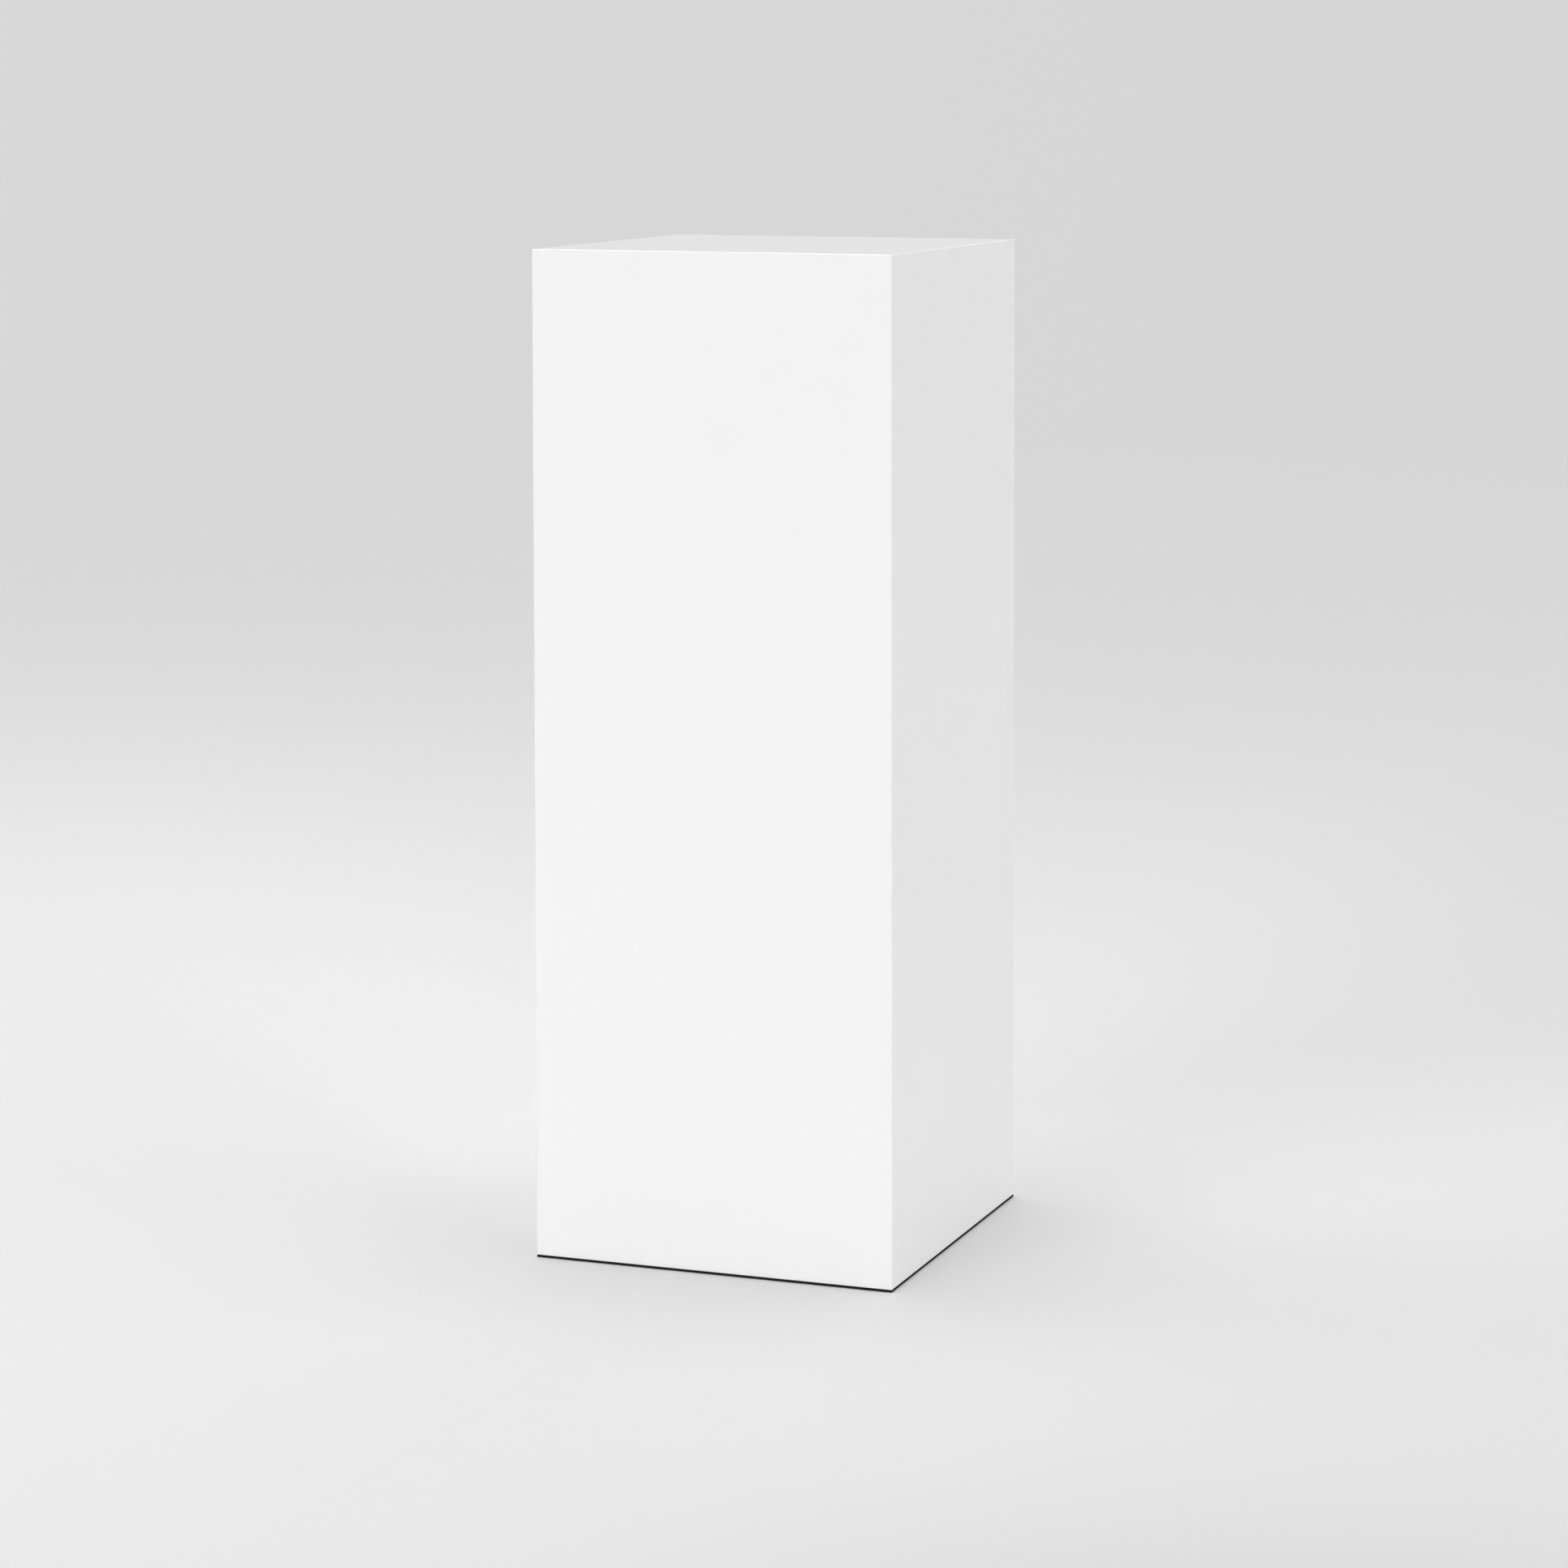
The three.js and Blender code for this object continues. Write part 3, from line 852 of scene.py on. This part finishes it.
def nut_column(_angle):
    """Pressed tee nut: rounded flange, rolled barrel and a bore that clears the thread."""
    bore = M10_RADIUS + RUNNING_CLEARANCE
    flange = (nut_high.x - nut_low.x) / 2
    under = nut_low.z
    board = board_low.z
    top = nut_high.z
    flange_round = NUT_FLANGE_ROUND
    edge = NUT_EDGE_ROUND
    return [
        (bore, under + NUT_LEAD_IN),
        (bore + NUT_LEAD_IN, under),
        *arc(flange - flange_round, under + flange_round, flange_round, -90, 0),
        *arc(flange - edge, board - edge, edge, 0, 90, SMALL_ARC_STEPS),
        (BARREL_RADIUS + BARREL_ROOT, board),
        (BARREL_RADIUS, board + BARREL_ROOT),
        *arc(BARREL_RADIUS - edge, top - edge, edge, 0, 90, SMALL_ARC_STEPS),
        (bore + edge, top),
        (bore, top - edge),
        (bore, under + NUT_LEAD_IN),
    ]


PRONG_REACH = 11.0 * MM
PRONG_WIDTH = 5.0 * MM
PRONG_THICKNESS = 1.4 * MM
PRONG_SUNK = 0.6 * MM
PRONG_SHOULDER = 4.4 * MM
PRONG_HEIGHT = 8.2 * MM
PRONG_TIP = 0.8 * MM


def prong(quarters):
    """One pointed prong, standing up from the flange's rim, turned by right angles about Z."""
    half = PRONG_WIDTH / 2
    half_tip = PRONG_TIP / 2
    base = board_low.z - PRONG_SUNK
    outline = (
        (-half, base),
        (half, base),
        (half, base + PRONG_SHOULDER),
        (half_tip, base + PRONG_HEIGHT),
        (-half_tip, base + PRONG_HEIGHT),
        (-half, base + PRONG_SHOULDER),
    )
    bm = bmesh.new()
    near = [bm.verts.new((x, PRONG_REACH - PRONG_THICKNESS / 2, z)) for x, z in outline]
    far = [bm.verts.new((x, PRONG_REACH + PRONG_THICKNESS / 2, z)) for x, z in outline]
    bm.faces.new(near)
    bm.faces.new(list(reversed(far)))
    for i in range(len(outline)):
        j = (i + 1) % len(outline)
        bm.faces.new((near[i], far[i], far[j], near[j]))
    return move(mesh_object("prong", bm, STEEL), quarter_turn(quarters))


def levelling_foot(corner):
    """Stud, pad and tee nut at one corner."""
    spot = middle(f"foot_pad_{corner}")
    shift = shift_to(spot)
    stud = move(revolved(f"foot_stud_{corner}_threaded", stud_column, ROUND, STEEL), shift)
    place(stud, f"stud_{corner}", f"foot_stud_{corner}")
    pad = move(revolved(f"foot_pad_{corner}_moulded", pad_column, ROUND, NYLON), shift)
    place(pad, f"pad_{corner}", f"foot_pad_{corner}")
    nut = revolved(f"tee_nut_{corner}_pressed", nut_column, ROUND, STEEL)
    for quarters in range(4):
        boolean(nut, prong(quarters), "UNION")
    move(nut, shift)
    place(nut, BOX_BODY, f"tee_nut_{corner}")


# Base screws, from the frame's boxes.
screw_low, screw_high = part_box("base_screw_front_1")
SCREW_HEAD = (screw_high.x - screw_low.x) / 2
SCREW_HEAD_EDGE = 0.3 * MM
SCREW_HEAD_DEPTH = 3.2 * MM
SCREW_NECK = 0.8 * MM
SCREW_THREAD_START = 1 * MM
SCREW_SHANK = 1.8 * MM
SCREW_CREST = 2.5 * MM
SCREW_PITCH = 2.4 * MM
SCREW_TAPER = 7 * MM
SCREW_STEPS = 36


def screw_column(angle):
    """Countersunk wood screw, head down, with a coarse thread drawn out to a point."""
    low, tip = screw_low.z, screw_high.z
    neck = low + SCREW_HEAD_DEPTH
    points = [
        (0, low),
        (SCREW_HEAD - SCREW_HEAD_EDGE, low),
        (SCREW_HEAD, low + SCREW_HEAD_EDGE),
        (SCREW_CREST, neck - SCREW_HEAD_EDGE),
        (SCREW_SHANK, neck + SCREW_NECK),
    ]
    start = neck + SCREW_THREAD_START
    for radius, z in thread(SCREW_SHANK, SCREW_CREST, SCREW_PITCH, start, tip, angle):
        narrow = min(1, max(0, (tip - z) / SCREW_TAPER))
        points.append((radius * narrow, z))
    return [*points, (0, tip)]


RECESS_HUB = 0.7 * MM
RECESS_ARM = 1.9 * MM
RECESS_ARM_SHARPNESS = 6
RECESS_TAPER = 0.6
RECESS_DEPTH = 2.2 * MM
RECESS_POINT = 0.4 * MM
RECESS_OVERCUT = 1 * MM
RECESS_STEPS = 64


def cross_recess(low):
    """Tapered four-armed recess that a driver bit fits, in the screw's head."""

    def column(angle):
        arm = abs(math.cos(2 * angle)) ** RECESS_ARM_SHARPNESS
        wide = RECESS_HUB + RECESS_ARM * arm
        deep = low + RECESS_DEPTH
        below = low - RECESS_OVERCUT
        return [(0, below), (wide, below), (wide * RECESS_TAPER, deep), (0, deep + RECESS_POINT)]

    return revolved("cross_recess", column, RECESS_STEPS, STEEL)


def base_screw(side, number):
    """One screw through the base board."""
    node = f"base_screw_{side}_{number}"
    obj = revolved(f"{node}_threaded", screw_column, SCREW_STEPS, STEEL)
    boolean(obj, cross_recess(board_low.z), "DIFFERENCE")
    move(obj, shift_to(middle(node)))
    place(obj, BOX_BODY, node)


# ---------------------------------------------------------------- base board

OVERCUT = 2 * MM
BOARD_EASING = 1.2 * MM
HAND_HOLE_ROUND = 3 * MM

# How much larger a prong's slot is than the prong, along each axis.
SLOT_SPREAD = Matrix.Diagonal((1.03, 1.03, 1.04, 1))


def hole_tool(radius, flare, spot):
    """A round cutter with a flared mouth at both faces, which leaves a rounded-over rim."""
    low, high = board_low.z, board_high.z

    def column(_angle):
        lower = [(radius + flare, low - OVERCUT)]
        upper = [(radius + flare, high + OVERCUT)]
        if flare:
            lower += arc(radius + flare, low + flare, flare, -90, -180)
            upper = [*arc(radius + flare, high - flare, flare, 180, 90), *upper]
        return [(0, low - OVERCUT), *lower, *upper, (0, high + OVERCUT)]

    tool = revolved("hole_tool", column, ROUND, BASE_PLY)
    return move(tool, shift_to(spot))


def countersink_tool(spot):
    """A cutter for a base screw's clearance hole and its countersink."""
    radius = SCREW_CREST + HOLE_CLEARANCE
    head = SCREW_HEAD + HOLE_CLEARANCE
    low = board_low.z

    def column(_angle):
        return [
            (0, low - OVERCUT),
            (head, low - OVERCUT),
            (head, low),
            (radius, low + head - radius),
            (radius, board_high.z + OVERCUT),
            (0, board_high.z + OVERCUT),
        ]

    tool = revolved("countersink_tool", column, SCREW_STEPS, BASE_PLY)
    return move(tool, shift_to(spot))


def prong_slot_tool(quarters, spot):
    """A cutter for a tee nut's prong, a little larger than the prong."""
    surface = Matrix.Translation((0, 0, board_low.z))
    return move(prong(quarters), shift_to(spot) @ surface @ SLOT_SPREAD @ surface.inverted())


def hand_hole_radius():
    """Radius of the frame board's middle hole: its rim is what lies nearest the plinth's axis."""
    return min(vert.co.xy.length for vert in frame["nodes"]["base_board"].data.vertices)


def base_board():
    """Birch ply base board: rounded edges, routed hand hole and drilled fixings."""
    bm = bmesh.new()
    bmesh.ops.create_cube(bm, size=1)
    size = board_high - board_low
    bmesh.ops.scale(bm, vec=size, verts=bm.verts)
    bmesh.ops.translate(bm, vec=board_low + size / 2, verts=bm.verts)
    bmesh.ops.bevel(
        bm,
        geom=bm.edges[:],
        offset=BOARD_EASING,
        segments=EASING_STEPS,
        profile=0.5,
        affect="EDGES",
    )
    board = mesh_object("base_board_ply", bm, BASE_PLY)
    boolean(board, hole_tool(hand_hole_radius(), HAND_HOLE_ROUND, Vector((0, 0, 0))), "DIFFERENCE")
    for corner in CORNERS:
        spot = middle(f"foot_pad_{corner}")
        boolean(board, hole_tool(BARREL_RADIUS + HOLE_CLEARANCE, 0, spot), "DIFFERENCE")
        for quarters in range(4):
            boolean(board, prong_slot_tool(quarters, spot), "DIFFERENCE")
    for side in SIDES:
        for number in SCREW_NUMBERS:
            boolean(board, countersink_tool(middle(f"base_screw_{side}_{number}")), "DIFFERENCE")
    place(board, BOX_BODY, "base_board")


# ---------------------------------------------------------------- studio

# What the camera sees of backdrop and floor: tones, and how they change across the view.
WALL_TONE = 0.677
WALL_SLOPE = 0.06
FADE_START = 6 * HEIGHT
FADE_END = 9 * HEIGHT
# Painted pool of light: the floor's colour is brightest round the plinth and falls off to the backdrop's
# tone.
PAINTED_POOL_TONE = 0.868
PAINTED_POOL_CENTRE = Vector((-1.25, -0.03, 0)) * HEIGHT
PAINTED_POOL_SPREAD = 2.65 * HEIGHT
# Painted shade: the floor's colour is darkened in the near right-hand foreground.
SHADE_CENTRE = Vector((0.78, -1.1, 0)) * HEIGHT
SHADE_SPREAD = 0.42 * HEIGHT
SHADE_DEPTH = 0.13
# Painted contact shade: the floor's colour darkens where ambient occlusion finds the plinth close by.
CONTACT_SHADE_REACH = 0.32 * HEIGHT
CONTACT_SHADE_DEPTH = 0.2
CONTACT_SHADE_SAMPLES = 8
FLOOR_RADIUS = 500 * HEIGHT
FLOOR_SIDES = 128

# How bright the lamps and the backdrop make a white floor.
FLOOR_LIGHT = 0.912

# Light from all round, and the extra light from behind the plinth.
AMBIENT = 0.18
BACK_GLOW = 0.71

# Each softbox: name, azimuth, elevation, spread, strength, and what it shows as. Angles in degrees.
SOFTBOXES = (
    ("camera_side_softbox", 21, 3, 40, 0.94, "diffuse"),
    ("front_left_softbox", -20, 3, 40, 2.54, "diffuse"),
    ("right_softbox", 90, 8, 80, 2.2, "both"),
    ("left_softbox", 265, 4, 30, 0.3, "both"),
    ("overhead_left_softbox", 270, 65, 50, 0.62, "both"),
    ("overhead_back_softbox", 160, 60, 50, 0.455, "both"),
    ("overhead_sheen", -70, 65, 50, 5.4, "sheen"),
    ("back_sheen", 180, 22, 20, 0.2, "sheen"),
)

# Camera station, the turn and drop of its view, and how the lens is shifted on its sensor.
STATION = Vector((1.5799, -4.0413, 1.1853)) * HEIGHT + Vector((0, 0, BOX_BOTTOM))
VIEW_TURN = math.radians(19.48)
VIEW_DROP = math.radians(3.322)
SENSOR_WIDTH = 36
FOCAL_LENGTH = 99.01
LENS_SHIFT = {"shift_x": -0.08709, "shift_y": -0.30243}

# A camera closer to the station than this is at it.
AT_STATION = 1 * MM


def round_patch(tree, point, centre, spread):
    """Soft round patch on the floor: one at its centre, falling to nothing."""
    flat = add(tree, "ShaderNodeVectorMath", {"operation": "DISTANCE"})
    fill(tree, flat.inputs[0], point)
    fill(tree, flat.inputs[1], centre)
    away = calc(tree, "DIVIDE", flat.outputs["Value"], spread)
    return calc(tree, "EXPONENT", calc(tree, "MULTIPLY", calc(tree, "MULTIPLY", away, away), -1.0))


def wall_light(tree):
    """Backdrop tone towards the camera, a little brighter on the left than on the right."""
    sideways = add(tree, "ShaderNodeVectorMath", {"operation": "DOT_PRODUCT"})
    tree.links.new(add(tree, "ShaderNodeNewGeometry").outputs["Incoming"], sideways.inputs[0])
    sideways.inputs[1].default_value = Matrix.Rotation(VIEW_TURN, 3, "Z") @ Vector((1, 0, 0))
    slope = calc(tree, "MULTIPLY", sideways.outputs["Value"], WALL_SLOPE * WALL_TONE)
    return calc(tree, "ADD", slope, WALL_TONE)


def floor_material():
    """Pale paper floor: a painted pool of light round the plinth, a painted shade in the foreground,
    painted contact shade round the plinth's foot, and a fade far off into a glow in the backdrop's tone.
    """
    material, tree, shader = new_material("studio_floor")
    tree.nodes.remove(shader)
    point = place_vector(tree)
    # Painted pool of light in the floor's colour.
    pool = round_patch(tree, point, PAINTED_POOL_CENTRE, PAINTED_POOL_SPREAD)
    paper = mix(tree, pool, grey(WALL_TONE / FLOOR_LIGHT), grey(PAINTED_POOL_TONE / FLOOR_LIGHT))
    # Painted shade in the foreground, mixed into the floor's colour.
    shade = calc(tree, "MULTIPLY", round_patch(tree, point, SHADE_CENTRE, SHADE_SPREAD), SHADE_DEPTH)
    paper = mix(tree, shade, paper, grey(0))
    # Painted contact shade: ambient occlusion darkens the floor's colour round the plinth's foot.
    open_sky = add(tree, "ShaderNodeAmbientOcclusion", {"samples": CONTACT_SHADE_SAMPLES}, Distance=CONTACT_SHADE_REACH)
    painted_contact_shade = ramp(tree, open_sky.outputs["AO"], 0, 1, CONTACT_SHADE_DEPTH, 0)
    paper = mix(tree, painted_contact_shade, paper, grey(0))
    diffuse = add(tree, "ShaderNodeBsdfDiffuse", Color=paper)
    glow = add(tree, "ShaderNodeEmission", Strength=wall_light(tree))
    far = add(tree, "ShaderNodeVectorMath", {"operation": "LENGTH"})
    fill(tree, far.inputs[0], point)
    fade = ramp(tree, far.outputs["Value"], FADE_START, FADE_END)
    shown = add(tree, "ShaderNodeMixShader", Fac=fade)
    tree.links.new(diffuse.outputs[0], shown.inputs[1])
    tree.links.new(glow.outputs[0], shown.inputs[2])
    clear = add(tree, "ShaderNodeBsdfTransparent")
    behind = add(tree, "ShaderNodeNewGeometry").outputs["Backfacing"]
    from_camera = add(tree, "ShaderNodeLightPath").outputs["Is Camera Ray"]
    one_sided = add(tree, "ShaderNodeMixShader", Fac=calc(tree, "MULTIPLY", behind, from_camera))
    tree.links.new(shown.outputs[0], one_sided.inputs[1])
    tree.links.new(clear.outputs[0], one_sided.inputs[2])
    output = next(node for node in tree.nodes if node.type == "OUTPUT_MATERIAL")
    tree.links.new(one_sided.outputs[0], output.inputs["Surface"])
    return material


def drive(owner, path, expression, variables, index=-1):
    """Drives a property. A variable is (kind, channel or None, target objects)."""
    driver = owner.driver_add(path, index).driver
    driver.type = "SCRIPTED"
    for name, (kind, channel, targets) in variables.items():
        variable = driver.variables.new()
        variable.name = name
        variable.type = kind
        for slot, target in zip(variable.targets, targets):
            slot.id = target
            if channel:
                slot.transform_type = channel
                slot.transform_space = "WORLD_SPACE"
    driver.expression = expression


def eye_height():
    """Driver variable for the camera's height above the floor."""
    return {"eye": ("TRANSFORMS", "LOC_Z", [bpy.context.scene.camera])}


def floor():
    """Round studio floor. It sinks with the lowest foot, so that the plinth always stands on it.

    It drops far away when the camera looks up from below it.
    """
    bm = bmesh.new()
    bmesh.ops.create_circle(bm, cap_ends=True, radius=FLOOR_RADIUS, segments=FLOOR_SIDES)
    obj = mesh_object("studio_floor", bm, floor_material())
    if obj.data.polygons[0].normal.z < 0:
        obj.data.flip_normals()
    feet = {
        f"foot_{i}": ("TRANSFORMS", "LOC_Z", [frame["bodies"][f"pad_{corner}"]])
        for i, corner in enumerate(CORNERS)
    }
    lowest = "min(foot_0, foot_1, foot_2, foot_3)"
    drive(obj, "location", f"{lowest} if eye > 0 else -{FLOOR_RADIUS}", {**feet, **eye_height()}, 2)


def backdrop(ambient, glow):
    """World that lights the scene softly, most from behind, and shows the camera a plain pale grey."""
    world = bpy.data.worlds.new("studio")
    world.use_nodes = True
    bpy.context.scene.world = world
    tree = world.node_tree
    seen = add(tree, "ShaderNodeLightPath").outputs["Is Camera Ray"]
    away = add(tree, "ShaderNodeVectorMath", {"operation": "DOT_PRODUCT"})
    tree.links.new(add(tree, "ShaderNodeTexCoord").outputs["Generated"], away.inputs[0])
    away.inputs[1].default_value = Matrix.Rotation(VIEW_TURN, 3, "Z") @ Vector((0, 1, 0))
    light = calc(tree, "MULTIPLY", calc(tree, "MAXIMUM", away.outputs["Value"], 0.0), glow)
    light = calc(tree, "ADD", light, ambient)
    shader = tree.nodes["Background"]
    fill(tree, shader.inputs["Color"], grey(1.0))
    fill(tree, shader.inputs["Strength"], blend(tree, seen, light, wall_light(tree)))


def softbox(name, azimuth, elevation, spread, strength, shows_as):
    """A distant soft light. It can show only as sheen, or only as diffuse light that leaves no glare.

    Azimuth is measured from the front towards the right-hand side, in degrees. The floor hides the
    part of the light below it. When the camera is below the floor, half of that part is taken off,
    and the other half makes up for what the floor would throw back.
    """
    light = bpy.data.lights.new(name, "SUN")
    light.angle = math.radians(spread)
    hidden = max(0, (spread / 2 - elevation) / spread)
    drive(light, "energy", f"{strength} * (1 if eye > 0 else {1 - hidden / 2})", eye_height())
    obj = bpy.data.objects.new(name, light)
    turn = Matrix.Rotation(math.radians(azimuth), 4, "Z")
    tilt = Matrix.Rotation(math.radians(90 - elevation), 4, "X")
    obj.matrix_world = turn @ tilt
    obj.visible_diffuse = shows_as != "sheen"
    obj.visible_glossy = shows_as != "diffuse"
    bpy.context.scene.collection.objects.link(obj)


def camera():
    """Camera at the photographer's station, with the lens shifted as it was there and nowhere else."""
    station = bpy.data.objects.new("camera_station", None)
    station.location = STATION
    bpy.context.scene.collection.objects.link(station)
    lens = bpy.data.cameras.new("camera")
    lens.sensor_width = SENSOR_WIDTH
    lens.lens = FOCAL_LENGTH
    obj = bpy.data.objects.new("camera", lens)
    obj.location = STATION
    obj.rotation_euler = (math.pi / 2 - VIEW_DROP, 0, VIEW_TURN)
    bpy.context.scene.collection.objects.link(obj)
    bpy.context.scene.camera = obj
    away = {"away": ("LOC_DIFF", None, [obj, station])}
    for path, shift in LENS_SHIFT.items():
        setattr(lens, path, shift)
        drive(lens, path, f"{shift} if away < {AT_STATION} else 0", away)


def studio():
    """Camera, floor, backdrop and lamps."""
    bpy.context.scene.view_settings.view_transform = "Standard"
    camera()
    floor()
    backdrop(AMBIENT, BACK_GLOW)
    for lamp in SOFTBOXES:
        softbox(*lamp)


# ---------------------------------------------------------------- the whole plinth

for turn in range(4):
    side_panel(turn)
top_panel()
dress_timber()
base_board()
for foot_corner in CORNERS:
    levelling_foot(foot_corner)
for screw_side in SIDES:
    for screw_number in SCREW_NUMBERS:
        base_screw(screw_side, screw_number)
studio()
